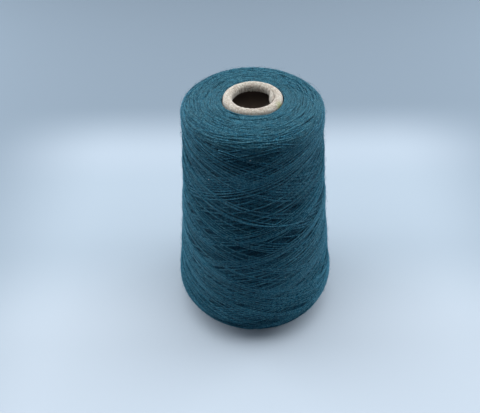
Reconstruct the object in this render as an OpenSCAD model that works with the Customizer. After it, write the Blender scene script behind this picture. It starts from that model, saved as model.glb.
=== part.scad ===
// A cone of cross-wound yarn on its paper former. Foot down, nose up, axis on Z.

/* [Paper former] */
// Length of the former along its axis
former_len = 170; // [140:1:230]
// Outside diameter across the rolled nose
nose_d = 35; // [30:0.5:50]
// Half angle of the taper, in degrees
half_angle = 5.95; // [4:0.05:9.5]
// Thickness of the roll that closes the nose, across the roll
roll_d = 5.5; // [5:0.1:8]
// Length of the straight land that the roll turns down inside the nose
land_len = 2; // [1.5:0.5:12]
// Thickness of the glued board plies
board_t = 1.6; // [1:0.1:1.8]
// Thickness of the cover paper over the board
cover_t = 0.3; // [0.2:0.05:0.4]
// Thickness of the liner sheet inside the board
liner_t = 0.3; // [0.2:0.05:0.6]
// Width of the lap where the cover paper's end lies over its start
lap_w = 3; // [1:0.5:8]

/* [Yarn package] */
// Bare length of former below the package
bare_foot = 6.7; // [5:0.1:20]
// Bare height of nose above the package
bare_nose = 1.6; // [0.5:0.1:2.4]
// Largest diameter of the package, at its foot
foot_d = 111.4; // [100:0.2:150]
// Diameter of the package below its shoulder
shoulder_d = 83.6; // [70:0.2:95]
// Width of the rounding at the foot
foot_round_w = 14.8; // [5:0.1:17]
// Height of the rounding at the foot
foot_round_h = 19.2; // [5:0.1:40]
// Width of the rounding at the shoulder
shoulder_round_w = 9; // [4:0.5:17]
// Height of the rounding at the shoulder
shoulder_round_h = 5; // [2:0.5:30]
// How far the side draws in halfway up, from a straight taper
waist_sag = 1.3; // [0:0.1:3]

/* [Yarn] */
// Diameter of the yarn as it lies
yarn_d = 0.8; // [0.4:0.1:1.2]
// Height of the last turn above the foot of the former
end_z = 110; // [60:1:130]
// Angle round the axis, from +X, where the last turn comes to the surface
end_from = -91; // [-180:1:180]
// Angle that the last turn runs round the axis before it dives under
end_span = 35; // [10:1:180]
// Number of reserve turns round the bare foot
tail_turns = 3; // [1:1:4]
// Distance from one reserve turn to the next
tail_pitch = 1; // [0.9:0.1:1.2]
// Height of the lowest reserve turn
tail_z = 1.6; // [1:0.1:3]

/* [Hidden] */
$fn = 128;
// Steps in the roll's arc, in each rounding of the package and up its side
ROLL_STEPS = 16;
ROUND_STEPS = 12;
SIDE_STEPS = 16;
// Room between a loose turn and what it lies on
LIE = 0.02;
// Part of the roll, in degrees up from its outer side, that the cover's lap shows on
LAP_FROM = 60;
LAP_TO = 145;

roll_r = roll_d / 2;
roll_c = [nose_d / 2 - roll_r, former_len - roll_r];
package_bottom = bare_foot;
package_top = former_len - bare_nose;
foot_r = foot_d / 2;
shoulder_r = shoulder_d / 2;
side_low = package_bottom + foot_round_h;
side_high = package_top - shoulder_round_h;

// Radius, at height z, of the layer that lies this deep under the former's outside
function layer_r(z, depth) =
    roll_c.x + (roll_r - depth) / cos(half_angle) + (roll_c.y - z) * tan(half_angle);

// Points along an arc about c, with its own width and height, from angle a to angle b
function arc(c, w, h, a, b, steps) =
    [for (i = [0 : steps]) let (t = a + (b - a) * i / steps) c + [w * cos(t), h * sin(t)]];

function reversed(points) = [for (i = [len(points) - 1 : -1 : 0]) points[i]];

// One face of a layer: up the taper, over the roll and down the land
function rolled_face(depth) = concat(
    [[layer_r(0, depth), 0]],
    arc(roll_c, roll_r - depth, roll_r - depth, half_angle, 180, ROLL_STEPS),
    [[roll_c.x - roll_r + depth, roll_c.y - land_len]]);

// Radius of the package's side at height z
function side_r(z) =
    let (t = (z - side_low) / (side_high - side_low))
    foot_r + (shoulder_r - foot_r) * t - 4 * waist_sag * t * (1 - t);

// Paper between two depths that goes over the roll with its neighbours
module rolled_layer(outer_depth, inner_depth) {
    rotate_extrude()
        polygon(concat(rolled_face(outer_depth), reversed(rolled_face(inner_depth))));
}

// A turn of yarn, or a part of one, at height z on a surface of that radius
module turn(surface_r, z, angle = 360) {
    rotate_extrude(angle = angle)
        translate([surface_r + LIE + yarn_d / 2 / cos(half_angle), z])
            circle(d = yarn_d, $fn = 24);
}

// Thin sheet inside the plies, which ends where the roll begins
module liner_sheet() {
    outer_depth = cover_t + board_t;
    inner_depth = outer_depth + liner_t;
    color([0.36, 0.27, 0.18])
        rotate_extrude()
            polygon([
                [layer_r(0, outer_depth), 0],
                [layer_r(roll_c.y, outer_depth), roll_c.y],
                [layer_r(roll_c.y, inner_depth), roll_c.y],
                [layer_r(0, inner_depth), 0]]);
}

// Glued plies that give the former its wall, rolled inwards at the nose
module board_plies() {
    color([0.45, 0.35, 0.24])
        rolled_layer(cover_t, cover_t + board_t);
}

// Pale paper over the plies and round the roll, with its lap on the roll
module cover_paper() {
    color([0.80, 0.76, 0.70]) {
        rolled_layer(0, cover_t);
        rotate_extrude(angle = lap_w / roll_c.x * 180 / PI)
            polygon(concat(
                arc(roll_c, roll_r + cover_t, roll_r + cover_t, LAP_FROM, LAP_TO, ROLL_STEPS),
                reversed(arc(roll_c, roll_r - cover_t / 2, roll_r - cover_t / 2,
                    LAP_FROM, LAP_TO, ROLL_STEPS))));
    }
}

// Body of the wound yarn, seated on the cover paper
module wound_yarn() {
    color([0.12, 0.30, 0.37])
        rotate_extrude()
            polygon(concat(
                [[layer_r(package_bottom, 0), package_bottom]],
                arc([foot_r - foot_round_w, side_low], foot_round_w, foot_round_h,
                    -90, 0, ROUND_STEPS),
                [for (i = [1 : SIDE_STEPS - 1])
                    let (z = side_low + (side_high - side_low) * i / SIDE_STEPS)
                    [side_r(z), z]],
                arc([shoulder_r - shoulder_round_w, side_high], shoulder_round_w, shoulder_round_h,
                    0, 90, ROUND_STEPS),
                [[nose_d / 2, package_top],
                    [nose_d / 2, roll_c.y + roll_r * tan(half_angle / 2)]]));
}

// Last stretch of the yarn, lying level over the crossing turns
module yarn_end() {
    color([0.25, 0.45, 0.52])
        rotate([0, 0, end_from])
            turn(side_r(end_z), end_z, end_span);
}

// Reserve turns round the bare foot, for tying on the next package
module transfer_tail() {
    color([0.12, 0.30, 0.37])
        for (i = [0 : tail_turns - 1])
            let (z = tail_z + i * tail_pitch)
            turn(layer_r(z, 0), z);
}

liner_sheet();
board_plies();
cover_paper();
wound_yarn();
yarn_end();
transfer_tail();
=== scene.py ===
# A cone of cross-wound wool yarn on its paper former, standing on its foot.
# Everything is in metres, with the former's axis on Z and its foot at z = 0.
import math

import bmesh
import bpy
import numpy as np
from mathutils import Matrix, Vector, noise


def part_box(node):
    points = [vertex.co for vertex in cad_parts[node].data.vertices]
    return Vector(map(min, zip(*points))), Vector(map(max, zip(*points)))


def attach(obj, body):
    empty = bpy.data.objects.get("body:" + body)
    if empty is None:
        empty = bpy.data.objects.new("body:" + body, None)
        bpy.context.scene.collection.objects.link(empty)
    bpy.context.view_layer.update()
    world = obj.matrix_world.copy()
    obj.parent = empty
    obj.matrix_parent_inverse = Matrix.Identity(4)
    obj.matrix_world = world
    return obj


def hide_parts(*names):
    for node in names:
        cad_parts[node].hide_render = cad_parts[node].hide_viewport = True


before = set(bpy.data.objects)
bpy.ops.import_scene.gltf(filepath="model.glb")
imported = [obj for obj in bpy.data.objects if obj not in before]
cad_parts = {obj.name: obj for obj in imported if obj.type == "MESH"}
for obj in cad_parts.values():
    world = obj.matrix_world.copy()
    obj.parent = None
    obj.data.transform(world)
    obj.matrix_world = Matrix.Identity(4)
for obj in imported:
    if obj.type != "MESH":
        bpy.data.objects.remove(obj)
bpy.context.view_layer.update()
bpy.ops.object.select_all(action="DESELECT")

# ---- Former: liner and plies ---------------------------------------------------------------
# Brown kraft plies wound on a mandrel and glued into one stiff tapered wall, with a thin darker
# liner inside. Both are frame pieces; their cut edges show at the foot, and the liner shows
# dimly through the nose.
MM = 0.001
TAPER = math.radians(5.95)
PLY = 0.4 * MM
LINER_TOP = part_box("liner_sheet")[1].z
NOSE_SHADE_DEPTHS = (22 * MM, 6 * MM)  # how far below the liner's top the painted shade under the nose starts and is full


def linear(hex_colour):
    """An sRGB hex colour as linear RGBA."""
    channels = [int(hex_colour[i:i + 2], 16) / 255 for i in (0, 2, 4)]
    return [c / 12.92 if c <= 0.04045 else ((c + 0.055) / 1.055) ** 2.4 for c in channels] + [1]


def add_node(material, kind, inputs=None, **settings):
    """Adds a node with its settings; an input is a value, or a socket to link from."""
    made = material.node_tree.nodes.new(kind)
    for name, value in settings.items():
        setattr(made, name, value)
    for name, value in (inputs or {}).items():
        if isinstance(value, bpy.types.NodeSocket):
            material.node_tree.links.new(value, made.inputs[name])
        else:
            made.inputs[name].default_value = value
    return made


def start_material(name):
    """An empty material, and its object coordinates."""
    material = bpy.data.materials.new(name)
    material.use_nodes = True
    material.node_tree.nodes.clear()
    return material, add_node(material, "ShaderNodeTexCoord").outputs["Object"]


def mix_colours(material, share, low, high):
    """Goes from colour low to colour high as share goes from 0 to 1."""
    made = add_node(material, "ShaderNodeMix", data_type="RGBA")
    for index, value in ((0, share), (6, low), (7, high)):
        if isinstance(value, bpy.types.NodeSocket):
            material.node_tree.links.new(value, made.inputs[index])
        else:
            made.inputs[index].default_value = value
    return made.outputs[2]


def close_material(material, inputs):
    """The material's surface shader, with its inputs."""
    shader = add_node(material, "ShaderNodeBsdfPrincipled", inputs)
    add_node(material, "ShaderNodeOutputMaterial", {"Surface": shader.outputs[0]})


def board_material(name, pale, dark):
    """Kraft board: short fibres in two browns, fine lines where the plies are cut across, and a
    painted shade near the top, where the wall lies in the shadow under the nose's roll."""
    material, place = start_material(name)
    fibres = add_node(material, "ShaderNodeTexNoise", {
        "Vector": place, "Scale": 1 / (1.5 * MM), "Detail": 6.0, "Roughness": 0.7})
    axis = add_node(material, "ShaderNodeSeparateXYZ", {"Vector": place})
    flat = add_node(material, "ShaderNodeVectorMath", {0: place, 1: (1, 1, 0)},
                    operation="MULTIPLY")
    radius = add_node(material, "ShaderNodeVectorMath", {0: flat.outputs[0]}, operation="LENGTH")
    depth = add_node(material, "ShaderNodeMath", {
        0: axis.outputs["Z"], 1: math.tan(TAPER), 2: radius.outputs["Value"]},
        operation="MULTIPLY_ADD")
    ply = add_node(material, "ShaderNodeMath", {0: depth.outputs[0], 1: PLY},
                   operation="PINGPONG")
    line = add_node(material, "ShaderNodeMapRange", {
        "Value": ply.outputs[0], "From Min": 0.0, "From Max": PLY, "To Min": 0.2, "To Max": 1.0})
    share = add_node(material, "ShaderNodeMath", {0: fibres.outputs["Fac"], 1: line.outputs[0]},
                     operation="MULTIPLY")
    board = mix_colours(material, share.outputs[0], linear(dark), linear(pale))
    # Painted shade: darker towards the top, under the nose's roll, where the wall lies in its shadow.
    nose_shade = add_node(material, "ShaderNodeMapRange", {
        "Value": axis.outputs["Z"], "From Min": LINER_TOP - NOSE_SHADE_DEPTHS[0],
        "From Max": LINER_TOP - NOSE_SHADE_DEPTHS[1], "To Max": 0.85}, interpolation_type="SMOOTHSTEP")
    bump = add_node(material, "ShaderNodeBump", {
        "Height": share.outputs[0], "Strength": 0.5, "Distance": 0.15 * MM})
    close_material(material, {
        "Base Color": mix_colours(material, nose_shade.outputs[0], board, linear("33261F")),
        "Roughness": 0.92, "Specular IOR Level": 0.25, "Normal": bump.outputs[0]})
    return material


def dress(node_name, material):
    """Gives a frame piece its material."""
    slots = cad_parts[node_name].data.materials
    slots.clear()
    slots.append(material)


dress("board_plies", board_material("glued_kraft_board", "A58865", "5E4A34"))
dress("liner_sheet", board_material("kraft_liner_sheet", "DACABC", "AC9D90"))

# ---- Former: cover paper -------------------------------------------------------------------
# A pale soft-faced sheet glued over the plies and rolled with them into the nose. The roll is
# uneven where the paper gathers, and its flocked face is a little hairy and grubby.
COVER_SEAT = 0.3 * MM  # the cover's thickness over the plies
NOSE_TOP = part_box("board_plies")[1].z + COVER_SEAT
ROLL_R = 2.75 * MM
ROLL_RING_R = 14.75 * MM
ROLL_Z = NOSE_TOP - ROLL_R
LAND = 2 * MM
COVER = 0.28 * MM  # a hair less than its seat
ROLL_AROUND = 288
ROLL_ACROSS = 60


def start_edit(piece):
    """Puts one piece alone in edit mode, with nothing in it selected."""
    bpy.ops.object.select_all(action="DESELECT")
    bpy.context.view_layer.objects.active = piece
    piece.select_set(True)
    bpy.ops.object.mode_set(mode="EDIT")
    bpy.ops.mesh.select_mode(type="VERT")
    bpy.ops.mesh.select_all(action="DESELECT")


def pick(piece, test):
    """Selects the corners whose place passes the test, and nothing else."""
    shape = bmesh.from_edit_mesh(piece.data)
    for corner in shape.verts:
        corner.select = test(corner.co)
    shape.select_flush(True)
    shape.select_flush(False)
    bmesh.update_edit_mesh(piece.data)


def end_edit():
    bpy.ops.object.mode_set(mode="OBJECT")


def ring_radius(place):
    return math.hypot(place.x, place.y)


def put_away(piece, material):
    """Applies the piece's place, and gives it its body, slot and material."""
    bpy.ops.object.select_all(action="DESELECT")
    bpy.context.view_layer.objects.active = piece
    piece.select_set(True)
    bpy.ops.object.transform_apply(location=True, rotation=True, scale=True)
    piece.data.materials.clear()
    piece.data.materials.append(material)
    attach(piece, "root")


def flock_material():
    """Flocked paper: felted cream fibres, greyer in the hollows, with one faint dye mark."""
    material, place = start_material("flocked_cover_paper")
    felt = add_node(material, "ShaderNodeTexNoise", {
        "Vector": place, "Scale": 1 / (1.1 * MM), "Detail": 5.0, "Roughness": 0.8})
    patches = add_node(material, "ShaderNodeTexNoise", {
        "Vector": place, "Scale": 1 / (3 * MM), "Detail": 3.0, "Roughness": 0.6})
    nap = add_node(material, "ShaderNodeMapRange", {
        "Value": felt.outputs["Fac"], "From Min": 0.36, "From Max": 0.64})
    body = mix_colours(material, nap.outputs[0], linear("786C5F"), linear("BFB9AC"))
    spread = add_node(material, "ShaderNodeMapRange", {
        "Value": patches.outputs["Fac"], "From Min": 0.42, "From Max": 0.7, "To Max": 0.6})
    grubby = mix_colours(material, spread.outputs[0], body, linear("8A776A"))
    mark_at = (15.4 * MM, -8.4 * MM, ROLL_Z - 0.4 * MM)
    offset = add_node(material, "ShaderNodeVectorMath", {0: place, 1: mark_at},
                      operation="DISTANCE")
    mark = add_node(material, "ShaderNodeMapRange", {
        "Value": offset.outputs["Value"], "From Min": 1.0 * MM, "From Max": 4.4 * MM,
        "To Min": 0.9, "To Max": 0.0})
    stained = mix_colours(material, mark.outputs[0], grubby, linear("737834"))
    bump = add_node(material, "ShaderNodeBump", {
        "Height": felt.outputs["Fac"], "Strength": 1.0, "Distance": 0.5 * MM})
    close_material(material, {
        "Base Color": stained, "Roughness": 0.95, "Specular IOR Level": 0.2,
        "Sheen Weight": 0.25, "Sheen Roughness": 0.6, "Normal": bump.outputs[0]})
    return material


def roll_section(angle, radius=ROLL_R):
    """Distance from the axis and height of a point on the nose's roll."""
    return ROLL_RING_R + radius * math.cos(angle), ROLL_Z + radius * math.sin(angle)


bpy.ops.mesh.primitive_torus_add(
    major_segments=ROLL_AROUND, minor_segments=ROLL_ACROSS,
    major_radius=ROLL_RING_R, minor_radius=ROLL_R, location=(0, 0, ROLL_Z))
cover = bpy.context.object
cover.name = "cover_sheet"
bpy.ops.object.transform_apply(location=True)
start_edit(cover)
side_r, side_z = roll_section(TAPER)
pick(cover, lambda at: at.z < ROLL_Z - 0.01 * MM
     or (ring_radius(at) > ROLL_RING_R and at.z < side_z - 0.05 * MM))
bpy.ops.mesh.delete(type="VERT")
pick(cover, lambda at: at.z < ROLL_Z + 0.01 * MM and ring_radius(at) < ROLL_RING_R)
LAND_STEPS = 4
for _ in range(LAND_STEPS):
    bpy.ops.mesh.extrude_region_move(TRANSFORM_OT_translate={"value": (0, 0, -LAND / LAND_STEPS)})
pick(cover, lambda at: at.z < side_z + 0.05 * MM and ring_radius(at) > ROLL_RING_R)
wall_r, wall_z = side_r, side_z
for drop in (2 * MM, 4 * MM, 150 * MM, None):
    next_z = wall_z - drop if drop else 0
    next_r = side_r + (side_z - next_z) * math.tan(TAPER)
    bpy.ops.mesh.extrude_region_move(TRANSFORM_OT_translate={"value": (0, 0, next_z - wall_z)})
    bpy.ops.transform.resize(value=(next_r / wall_r, next_r / wall_r, 1))
    wall_r, wall_z = next_r, next_z
end_edit()

for corner in cover.data.vertices:
    ring = ring_radius(corner.co)
    if ring > side_r:
        continue
    around = math.atan2(corner.co.y, corner.co.x)
    inward = (ROLL_RING_R + ROLL_R - ring) / (2 * ROLL_R)
    lumps = noise.noise(corner.co * 170) + 0.8 * noise.noise(corner.co * 600)
    pleats = math.sin(around * 41 + 3 * math.sin(around * 5)) * inward ** 2
    outwards = Vector((corner.co.x, corner.co.y, 0)) * (1 - ROLL_RING_R / ring)
    outwards.z = corner.co.z - ROLL_Z
    corner.co += outwards.normalized() * (0.13 * lumps + 0.11 * pleats) * MM
thickness = cover.modifiers.new("paper", "SOLIDIFY")
thickness.thickness = COVER
thickness.offset = -1
bpy.context.view_layer.objects.active = cover
bpy.ops.object.modifier_apply(modifier=thickness.name)
bpy.ops.object.shade_smooth()
flocked = flock_material()
put_away(cover, material=flocked)
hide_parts("cover_paper")

# ---- Cover paper: its lap ------------------------------------------------------------------
# Where the sheet's end laps its start, the glued end has lifted a little inside the nose and
# stands off the roll as a short curled flap.
LAP_FROM = math.radians(-17)
LAP_TO = math.radians(30)
LAP_HIGH = math.radians(138)
LAP_DROP = 2.2 * MM
LAP_GAP = 0.8 * MM
LAP_LIFT = 1.9 * MM

bpy.ops.mesh.primitive_grid_add(x_subdivisions=36, y_subdivisions=22, size=2)
lap = bpy.context.object
lap.name = "cover_lap"
for corner in lap.data.vertices:
    along = (corner.co.x + 1) / 2
    across = (corner.co.y + 1) / 2
    around = LAP_FROM + (LAP_TO - LAP_FROM) * along
    section = min(LAP_HIGH + (math.pi - LAP_HIGH) * across * 2, math.pi)
    lift = LAP_GAP + (LAP_LIFT - LAP_GAP) * across
    lift = 0.12 * MM + lift * math.sin(math.pi * along) ** 0.7
    rough = 0.12 * MM * noise.noise((along * 6, across * 4, 0.5))
    ring, height = roll_section(section, ROLL_R + lift + rough)
    height -= LAP_DROP * max(2 * across - 1, 0)
    corner.co = (ring * math.cos(around), ring * math.sin(around), height)
thickness = lap.modifiers.new("paper", "SOLIDIFY")
thickness.thickness = COVER
thickness.offset = 1
bpy.ops.object.modifier_apply(modifier=thickness.name)
bpy.ops.object.shade_smooth()
put_away(lap, material=flocked)

# ---- Yarn package: core --------------------------------------------------------------------
# Everything under the outer layers of yarn: hundreds of metres of the same wool, packed close.
# It is one shell in a much darker copy of the wool, as painted shade for the hollows that show
# between the turns on top.
PACKAGE_LOW, PACKAGE_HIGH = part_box("wound_yarn")
FOOT_Z = PACKAGE_LOW.z
TOP_Z = PACKAGE_HIGH.z
FOOT_R = PACKAGE_HIGH.x
SHOULDER_R = 41.8 * MM
FOOT_ROUND = (14.2 * MM, 18.6 * MM)
SHOULDER_ROUND = (11 * MM, 6 * MM)
WAIST_SAG = 1.3 * MM
YARN_R = 0.38 * MM
FIBRE_CLUMP = 0.7 * MM  # coarser than single fibres, which are too fine to show
NECK = 0.4 * MM
NOSE_SLIP = 1.3 * MM
SLIP_WIDTH = 15 * MM
SWELL = 0.2 * MM
SLOW_SWELL = 5.1 * MM  # along the outline, for one radian of each set of hills
QUICK_SWELL = 2.9 * MM


def quarter_round(centre, size, start, end, steps=24):
    turn = np.linspace(math.radians(start), math.radians(end), steps)
    return np.c_[centre[0] + size[0] * np.cos(turn), centre[1] + size[1] * np.sin(turn)]


def package_outline():
    """The package's outline, as (distance from axis, height), from the foot's inside to the nose."""
    foot = quarter_round((FOOT_R - FOOT_ROUND[0], FOOT_Z + FOOT_ROUND[1]), FOOT_ROUND, -90, 0)
    shoulder = quarter_round((SHOULDER_R - SHOULDER_ROUND[0], TOP_Z - SHOULDER_ROUND[1]),
                             SHOULDER_ROUND, 0, 90)
    up = np.linspace(0, 1, 60)[1:-1]
    side = foot[-1] + (shoulder[0] - foot[-1]) * up[:, None]
    side[:, 0] -= 4 * WAIST_SAG * up * (1 - up) + NECK * np.clip(8 * (1 - up), 0, 1) * up
    inner_r = side_r + (side_z - FOOT_Z) * math.tan(TAPER)
    outline = np.vstack([[(inner_r, FOOT_Z)], foot, side, shoulder,
                         [(ROLL_RING_R + ROLL_R, TOP_Z)]])
    run = np.r_[0, np.cumsum(np.hypot(*np.diff(outline, axis=0).T))]
    even = np.arange(0, run[-1], 0.5 * MM)
    outline = np.c_[np.interp(even, run, outline[:, 0]), np.interp(even, run, outline[:, 1])]
    soft = 7  # points on each side that a corner is softened over
    padded = np.pad(outline, ((soft, soft), (0, 0)), mode="reflect", reflect_type="odd")
    window = np.hanning(2 * soft + 3)[1:-1]
    window /= window.sum()
    return even, np.c_[[np.convolve(padded[:, i], window, mode="valid") for i in (0, 1)]].T


RUN, OUTLINE = package_outline()
RUN_END = RUN[-1]
SLOPE = np.gradient(OUTLINE, RUN, axis=0)
OUTWARD = np.c_[SLOPE[:, 1], -SLOPE[:, 0]]
OUTWARD /= np.hypot(*OUTWARD.T)[:, None]


def slip(to_nose, around):
    """How far the turns have slipped down beside the nose, most of all behind it."""
    share = np.clip(1 - to_nose / SLIP_WIDTH, 0, 1) ** 2
    return NOSE_SLIP * share * (0.55 + 0.45 * np.sin(around))


def swell(run, around):
    """The package's shallow hills, where more turns happen to lie over each other."""
    slow = np.sin(run / SLOW_SWELL + 1.4 * np.sin(2 * around))
    quick = np.sin(run / QUICK_SWELL - 3 * around + 2)
    return SWELL * (slow + 0.6 * quick)


def on_package(run, around, lift):
    """Places on the package, by distance along its outline, angle round it and height above it."""
    lift = lift - slip(RUN_END - run, around) + swell(run, around)
    ring = np.interp(run, RUN, OUTLINE[:, 0]) + lift * np.interp(run, RUN, OUTWARD[:, 0])
    height = np.interp(run, RUN, OUTLINE[:, 1]) + lift * np.interp(run, RUN, OUTWARD[:, 1])
    return np.c_[ring * np.cos(around), ring * np.sin(around), height]


def wool_material(name, deep, body, tip, twist_turns):
    """Woollen-spun wool: dyed fibres in close shades, plied, with a dull soft face."""
    material, place = start_material(name)
    along = add_node(material, "ShaderNodeUVMap", uv_map="UVMap")
    heather = add_node(material, "ShaderNodeTexNoise", {
        "Vector": place, "Scale": 1 / (2.2 * MM), "Detail": 4.0, "Roughness": 0.75})
    strand = add_node(material, "ShaderNodeMapping", {
        "Vector": along.outputs["UV"], "Scale": (1, twist_turns, 1)})
    split = add_node(material, "ShaderNodeSeparateXYZ", {"Vector": strand.outputs[0]})
    turn = add_node(material, "ShaderNodeMath", {
        0: split.outputs["X"], 1: split.outputs["Y"]}, operation="ADD")
    ply = add_node(material, "ShaderNodeMath", {0: turn.outputs[0], 1: 0.5}, operation="PINGPONG")
    fibres = add_node(material, "ShaderNodeTexNoise", {
        "Vector": place, "Scale": 1 / FIBRE_CLUMP, "Detail": 3.0, "Roughness": 0.8})
    spread = add_node(material, "ShaderNodeMapRange", {
        "Value": heather.outputs["Fac"], "From Min": 0.3, "From Max": 0.7})
    shade = mix_colours(material, spread.outputs[0], linear(deep), linear(body))
    glint = add_node(material, "ShaderNodeMapRange", {
        "Value": fibres.outputs["Fac"], "From Min": 0.45, "From Max": 0.75, "To Max": 0.6})
    colour = mix_colours(material, glint.outputs[0], shade, linear(tip))
    relief = add_node(material, "ShaderNodeMath", {
        0: ply.outputs[0], 1: 1.6, 2: fibres.outputs["Fac"]}, operation="MULTIPLY_ADD")
    bump = add_node(material, "ShaderNodeBump", {
        "Height": relief.outputs[0], "Strength": 0.6, "Distance": 0.12 * MM})
    close_material(material, {
        "Base Color": colour, "Roughness": 0.9, "Specular IOR Level": 0.08,
        "Sheen Weight": 0.35, "Sheen Roughness": 0.45, "Sheen Tint": linear("8FBAC6"),
        "Normal": bump.outputs[0]})
    return material


def lathe(name, sections):
    """A closed turned shell through the sections, each a (distance from axis, height)."""
    outline = bpy.data.curves.new(name, "CURVE")
    outline.dimensions = "3D"
    line = outline.splines.new("POLY")
    line.points.add(len(sections) - 1)
    line.points.foreach_set("co", np.c_[
        sections[:, 0], np.zeros(len(sections)), sections[:, 1], np.ones(len(sections))].ravel())
    line.use_cyclic_u = True
    piece = bpy.data.objects.new(name, outline)
    bpy.context.collection.objects.link(piece)
    bpy.ops.object.select_all(action="DESELECT")
    piece.select_set(True)
    bpy.context.view_layer.objects.active = piece
    bpy.ops.object.convert(target="MESH")
    screw = piece.modifiers.new("turn", "SCREW")
    screw.steps = screw.render_steps = 128
    screw.use_merge_vertices = True
    screw.merge_threshold = 0.01 * MM
    bpy.ops.object.modifier_apply(modifier=screw.name)
    start_edit(piece)
    bpy.ops.mesh.select_all(action="SELECT")
    bpy.ops.mesh.normals_make_consistent(inside=False)
    end_edit()
    bpy.ops.object.shade_smooth()
    return piece


# Painted shade: the core's wool is much darker than the turns on it, standing for the shadow in their
# hollows.
core_shade_wool = wool_material("wool_painted_hollow_shade", "011320", "052B40", "0F4156", 1)
core_depth = 1.5 * MM
core_line = (OUTLINE - OUTWARD * core_depth)[3:-3:4]
core_inner = np.array([(ROLL_RING_R + ROLL_R + 0.1 * MM, TOP_Z - 3 * MM),
                       (side_r + (side_z - FOOT_Z) * math.tan(TAPER) + 0.1 * MM,
                        FOOT_Z + core_depth)])
core = lathe("yarn_core", np.vstack([core_line, core_inner]))
for corner in core.data.vertices:
    if corner.co.z > TOP_Z - 4 * MM:
        to_nose = max(ring_radius(corner.co) - ROLL_RING_R - ROLL_R, 0)
        corner.co.z -= slip(to_nose, math.atan2(corner.co.y, corner.co.x))
put_away(core, material=core_shade_wool)
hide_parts("wound_yarn")

# ---- Yarn package: crossing turns ----------------------------------------------------------
# One yarn laid by a traverse guide that runs up and down while the former turns, so the turns
# cross at a steady angle. Each stroke eases round at its end. Later turns lie over earlier ones,
# and the last of them stand proud, each with a dark strand beside it as the painted shade of its
# hollow.
LAY_ANGLE = math.radians(18)
LAY_SPREAD = math.radians(2)
LEAN = 0.22 * MM
STEP = math.radians(3.5)
TURNS_APART = 2.0 * MM
MIDDLE_R = 47 * MM
DIP = 0.12 * MM
PROUD_R = YARN_R * 0.9
PROUD_LEAN = 1.6
SHADOW_R = YARN_R * 0.8
SHADOW_LEAN = 0.8  # more than the proud turn beside it
SHADOW_ASIDE = 0.7 * MM
HOLLOW = 0.3 * MM
STROKE_LENGTH = 500 * MM
TWIST_PITCH = 3.0 * MM
TWISTS = STROKE_LENGTH / TWIST_PITCH
LOW_ENDS = (10 * MM, 30 * MM)
HIGH_ENDS = (RUN_END - 30 * MM, RUN_END - 4 * MM)
SHOULDER_ENDS = (RUN_END - 30 * MM, RUN_END - 12 * MM)
SHOULDER_RUN = RUN_END - 32 * MM
DIVE = 0.7 * MM
random = np.random.default_rng(20)


def smooth_noise(count, width):
    """Random wandering with a spread of about 1, which changes over width points."""
    knots = random.normal(size=count // width + 4)
    return np.interp(np.arange(count) / width, np.arange(len(knots)), knots)


def lay_yarn(name, routes, radius, material, sides=4):
    """One piece made of lengths of yarn, each a run of places in metres."""
    curve = bpy.data.curves.new(name, "CURVE")
    curve.dimensions = "3D"
    curve.bevel_depth = radius
    curve.bevel_resolution = (sides - 4) // 2
    curve.use_fill_caps = True
    for route in routes:
        spline = curve.splines.new("POLY")
        spline.points.add(len(route) - 1)
        spline.points.foreach_set("co", np.c_[route, np.ones(len(route))].ravel())
        thick = 1 + 0.13 * smooth_noise(len(route), 5)
        spline.points.foreach_set("radius", np.clip(thick, 0.7, 1.35))
    piece = bpy.data.objects.new(name, curve)
    bpy.context.collection.objects.link(piece)
    bpy.ops.object.select_all(action="DESELECT")
    piece.select_set(True)
    bpy.context.view_layer.objects.active = piece
    bpy.ops.object.convert(target="MESH")
    start_edit(piece)
    bpy.ops.mesh.select_all(action="SELECT")
    bpy.ops.mesh.remove_doubles(threshold=0.001 * MM)
    end_edit()
    put_away(piece, material=material)
    return piece


def wind(strokes, high=HIGH_ENDS):
    """Winds that many strokes; gives run and angle of each point, and where each stroke ends."""
    ends = np.where(np.arange(strokes + 1) % 2, random.uniform(*high, strokes + 1),
                    random.uniform(*LOW_ENDS, strokes + 1))
    lay = random.normal(LAY_ANGLE, LAY_SPREAD, strokes)
    turned = np.abs(np.diff(ends)) / MIDDLE_R / np.tan(lay)
    knots = np.r_[0, np.cumsum(turned)]
    around = np.arange(0, knots[-1], STEP)
    run = np.interp(around, knots, ends)
    easing = np.hanning(25)
    easing /= easing.sum()
    run = np.convolve(np.pad(run, 12, mode="edge"), easing, mode="valid")
    cuts = np.searchsorted(around, knots[1:-1])
    return run, around + random.uniform(0, 2 * math.pi), cuts


def strokes_of(run, around, cuts):
    """Each stroke's own run, angle and lean: strokes up lie proud on one side of the package and
    strokes down on the other."""
    lean = LEAN * np.sign(np.gradient(run)) * np.cos(around)
    for first, last in zip(np.r_[0, cuts], np.r_[cuts + 1, len(run)]):
        if last - first > 5:
            yield run[first:last], around[first:last], lean[first:last]


def crossing_turns(name, strokes, lift_from, lift_to, material):
    """A layer of crossing turns that builds up from one height to another."""
    routes = []
    for run, around, lean in strokes_of(*wind(strokes)):
        lift = lift_from + (lift_to - lift_from) * len(routes) / strokes
        lift = lift + lean + 0.07 * MM * smooth_noise(len(run), 12)
        routes.append(on_package(run + 0.16 * MM * smooth_noise(len(run), 4), around, lift))
    lay_yarn(name, routes, YARN_R, material)


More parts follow.
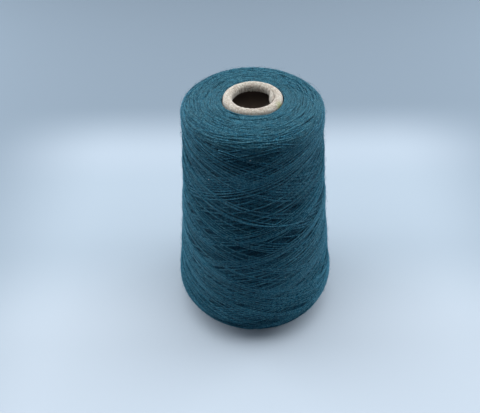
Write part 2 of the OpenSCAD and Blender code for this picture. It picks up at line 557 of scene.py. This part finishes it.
def outer_turns(strokes, sizes, lift):
    """The last strokes, alone or a few side by side, in a lighter copy of the wool as painted light,
    each with a dark strand beside it as the painted shade of its hollow. They dive under the
    turned-back ends at the shoulder."""
    proud, shadow_strands = [], []
    for run, around, lean in strokes_of(*wind(strokes, SHOULDER_ENDS)):
        place = run + 0.12 * MM * smooth_noise(len(run), 6)
        height = lift + PROUD_LEAN * lean + DIP * smooth_noise(len(run), 24)
        height -= DIVE * np.clip((run - SHOULDER_RUN) / SHOULDER_ROUND[0], 0, 1)
        for _ in range(random.choice(sizes)):
            side = place + 0.08 * MM * smooth_noise(len(run), 5)
            own = height + 0.05 * MM * smooth_noise(len(run), 8)
            proud.append(on_package(side, around, own))
            # Painted shadow: a dark strand in the hollow beside the proud turn, standing for its
            # shade.
            shadow_strands.append(on_package(side - SHADOW_ASIDE, around, own - HOLLOW + SHADOW_LEAN * lean))
            place = place + TURNS_APART * random.uniform(0.75, 1.25)
    lay_yarn("outer_turns", proud, PROUD_R, outer_lit_wool)
    lay_yarn("painted_shadow_turns", shadow_strands, SHADOW_R, shadow_wool)


# Copies of one wool with painted light and shade: the inner copy darker for the deeper layers, the
# outer copy lighter for the proud last turns, the top copy lighter for the top face under the
# overhead light, and the shadow copy darkest, for the shade in the hollow beside each proud turn.
inner_shade_wool = wool_material("woollen_spun_wool_painted_deep_shade", "011725", "05344B", "174C62", TWISTS)
yarn_wool = wool_material("woollen_spun_wool", "01192A", "083F55", "4A91A6", TWISTS)
outer_lit_wool = wool_material("woollen_spun_wool_painted_light", "04374C", "1A6079", "80BACA", TWISTS)
top_lit_wool = wool_material("woollen_spun_wool_painted_top_light", "072B3A", "1A5265", "6EA0AC", TWISTS)
shadow_wool = wool_material("woollen_spun_wool_painted_shadow", "01101B", "042334", "113C4D", TWISTS)
layers = (("crossing_turns_1", 105, -1.30, -1.05, inner_shade_wool),
          ("crossing_turns_2", 105, -1.05, -0.75, inner_shade_wool),
          ("crossing_turns_3", 125, -0.75, -0.40, yarn_wool))
for layer_name, strokes, lift_from, lift_to, wool in layers:
    crossing_turns(layer_name, strokes, lift_from * MM, lift_to * MM, wool)
outer_turns(56, (1, 1, 1, 2, 2, 3), -0.2 * MM)

# ---- Yarn package: turned-back ends --------------------------------------------------------
# On both faces of the package the turns show where they turn back: short stretches that run
# almost level, come up from among their neighbours and go under again.
TURNED_REACH = (14 * MM, 34 * MM)
TURNED_SLANT = math.radians(4.5)
TURNED_BOW = 0.9 * MM
TURNED_DEPTH = 0.7 * MM
TURNED_DIVE = 1.4 * MM


def turned_ends(name, count, run_from, run_to, lift, material):
    """Level stretches over a band of the outline, each rising and sinking among the others."""
    routes = []
    for _ in range(count):
        run = run_from + (run_to - run_from) * random.uniform()
        ring = np.interp(run, RUN, OUTLINE[:, 0])
        half = min(random.uniform(*TURNED_REACH) / ring, math.radians(110))
        around = np.linspace(-1, 1, max(int(2 * half / STEP), 8))
        drift = ring * half * math.tan(random.normal(0, TURNED_SLANT))
        bow = random.uniform(0, TURNED_BOW)
        level = run + drift * around - bow * around ** 2
        level = np.clip(level, 0.5 * MM, RUN_END - 0.6 * MM)
        sink = lift - random.uniform(0, TURNED_DEPTH) - TURNED_DIVE * np.abs(around) ** 3.5
        routes.append(on_package(level, around * half + random.uniform(0, 2 * math.pi), sink))
    lay_yarn(name, routes, YARN_R, material)


turned_ends("top_turns", 950, RUN_END - 35 * MM, RUN_END - 0.5 * MM, -0.2 * MM, top_lit_wool)
turned_ends("foot_turns", 550, 0.5 * MM, 24 * MM, 0, yarn_wool)

# ---- Yarn package: last turns --------------------------------------------------------------
# The last stretch slants down over the crossing turns and dives among them at both ends. The
# reserve turns lie round the bare foot, where the next package is tied on.
END_LOW, END_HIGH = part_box("yarn_end")
LAST_FROM = math.radians(-120)
LAST_SPAN = math.radians(76)
LAST_FALL = 13 * MM
LAST_LEVEL = 0.38  # share of its way at which it passes the frame piece's height
SIDE = slice(20, -40)  # the outline without its level faces, where height only rises
last_height = (END_LOW.z + END_HIGH.z) / 2
last_share = np.linspace(0, 1, 60)
last_run = np.interp(last_height, OUTLINE[SIDE, 1], RUN[SIDE]) + LAST_FALL * (LAST_LEVEL - last_share)
last_lift = 0.12 * MM - 1.2 * MM * np.abs(2 * last_share - 1) ** 8
last_route = on_package(last_run, LAST_FROM + LAST_SPAN * last_share, last_lift)
last_turn = lay_yarn("last_turn", [last_route], YARN_R, outer_lit_wool, 8)
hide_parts("yarn_end")

TAIL_LOW, TAIL_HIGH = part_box("transfer_tail")
TAIL_TURNS = 3
tail_around = np.linspace(0, 2 * math.pi * TAIL_TURNS, 72 * TAIL_TURNS)
tail_z = np.linspace(TAIL_LOW.z + YARN_R, TAIL_HIGH.z - YARN_R, len(tail_around))
tail_z += 0.1 * MM * smooth_noise(len(tail_z), 14)
tail_ring = side_r + (side_z - tail_z) * math.tan(TAPER) + YARN_R
tail_route = np.c_[tail_ring * np.cos(tail_around), tail_ring * np.sin(tail_around), tail_z]
tail = lay_yarn("reserve_turns", [tail_route], YARN_R, yarn_wool, 8)
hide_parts("transfer_tail")

# ---- Yarn package: stray fibres ------------------------------------------------------------
# Woollen yarn is hairy: fine fibre ends lie along the turns, and some stand off and soften the
# package's outline. A few pale specks of lint have caught in them.
FIBRE_R = 0.025 * MM
fibre_wool = wool_material("stray_wool_fibre", "053C52", "1D647B", "6AA5B7", 1)


def stray_fibres(name, count, length, rise, radius, material):
    """Short curved hairs that leave the surface at a low angle."""
    routes = []
    share = np.linspace(0, 1, 4)
    for _ in range(count):
        run = random.uniform(4 * MM, RUN_END - 1 * MM)
        ring = np.interp(run, RUN, OUTLINE[:, 0])
        if random.uniform() > ring / FOOT_R:
            continue
        reach = random.uniform(*length)
        turn = random.uniform(0, 2 * math.pi) + random.normal(0, 0.8) * share
        around = random.uniform(0, 2 * math.pi) + reach * share * np.cos(turn) / ring
        level = np.clip(run + reach * share * np.sin(turn), 1 * MM, RUN_END - 0.5 * MM)
        lift = -0.2 * MM + reach * random.uniform(*rise) * share * (1 - 0.35 * share)
        routes.append(on_package(level, around, lift))
    lay_yarn(name, routes, radius, material)


for patch in ("1", "2"):
    stray_fibres("stray_fibres_" + patch, 5500, (1.5 * MM, 4 * MM), (0.05, 0.35), FIBRE_R,
                 fibre_wool)
    stray_fibres("standing_fibres_" + patch, 5000, (2 * MM, 5 * MM), (0.25, 0.8), FIBRE_R * 1.2,
                 fibre_wool)
lint = wool_material("pale_lint", "8FA4A8", "C2CDCE", "E6EAEA", 1)
stray_fibres("lint_specks", 18, (0.4 * MM, 0.7 * MM), (0.5, 0.9), 0.16 * MM, lint)

# ---- Floor, light and camera ---------------------------------------------------------------
# A seamless pale sheet under soft light from above and both sides, and the camera.
FLOOR = 3.0


def floor_material():
    """Matt pale blue-grey paper with its light and shade painted in: palest round the object and
    darker far out on every side.
    """
    material, place = start_material("matt_paper_painted_light")
    axis = add_node(material, "ShaderNodeSeparateXYZ", {"Vector": place})
    aside = add_node(material, "ShaderNodeMath", {0: axis.outputs["X"]}, operation="ABSOLUTE")
    colour = linear("59626A")
    # Painted light and shade: a pool of light in front of the object, a painted shadow where it
    # stands and behind it, and less light far out on every side.
    for distance, start, end, shade in (
            (axis.outputs["Y"], -0.32, -0.11, "A6AFB8"), (axis.outputs["Y"], -0.045, 0.045, "929DA7"),
            (axis.outputs["Y"], 0.12, 0.17, "96A0AA"), (axis.outputs["Y"], 0.165, 0.262, "707C87"),
            (aside.outputs[0], 0.14, 0.30, "707C87")):
        share = add_node(material, "ShaderNodeMapRange", {
            "Value": distance, "From Min": start, "From Max": end},
            interpolation_type="SMOOTHSTEP")
        colour = mix_colours(material, share.outputs[0], colour, linear(shade))
    close_material(material, {
        "Base Color": colour, "Roughness": 0.9, "Specular IOR Level": 0.1})
    return material


bpy.ops.mesh.primitive_plane_add(size=2 * FLOOR)
floor = bpy.context.object
floor.name = "floor"
floor.data.materials.append(floor_material())


def soft_light(name, place, aim, size, power, colour):
    light = bpy.data.lights.new(name, "AREA")
    light.shape = "RECTANGLE"
    light.size, light.size_y = size
    light.energy = power
    light.color = linear(colour)[:3]
    lamp = bpy.data.objects.new(name, light)
    bpy.context.collection.objects.link(lamp)
    lamp.location = place
    lamp.rotation_euler = (Vector(aim) - Vector(place)).to_track_quat("-Z", "Y").to_euler()


soft_light("overhead", (0, 0.14, 1.1), (0, 0, 0.1), (1.6, 1.1), 25, "F8FAFC")
for window, across in (("left_window", -0.9), ("right_window", 0.9)):
    soft_light(window, (across, 0.3, 0.34), (0, 0, 0.08), (0.7, 0.45), 9.8, "F2F7FC")

world = bpy.data.worlds.new("room")
world.use_nodes = True
world.node_tree.nodes["Background"].inputs["Color"].default_value = linear("ACCAE6")
world.node_tree.nodes["Background"].inputs["Strength"].default_value = 0.21
bpy.context.scene.world = world
bpy.context.scene.view_settings.view_transform = "Standard"

IMAGE_WIDTH = 480
SENSOR_WIDTH = 36
FOCAL = 542
PITCH = math.radians(42.8)
ROLL = math.radians(0.80)
DISTANCE = 0.370
AIM_Z = 0.085

camera_data = bpy.data.cameras.new("camera")
camera_data.sensor_width = SENSOR_WIDTH
camera_data.lens = SENSOR_WIDTH * FOCAL / IMAGE_WIDTH
camera_data.shift_x = -14.1 / IMAGE_WIDTH
camera_data.shift_y = -3.1 / IMAGE_WIDTH
camera_data.clip_start = 0.01
camera = bpy.data.objects.new("camera", camera_data)
bpy.context.collection.objects.link(camera)
camera.location = (0, -DISTANCE * math.cos(PITCH), AIM_Z + DISTANCE * math.sin(PITCH))
camera.rotation_euler = (math.pi / 2 - PITCH, 0, 0)
camera.rotation_euler.rotate_axis("Z", -ROLL)
bpy.context.scene.camera = camera
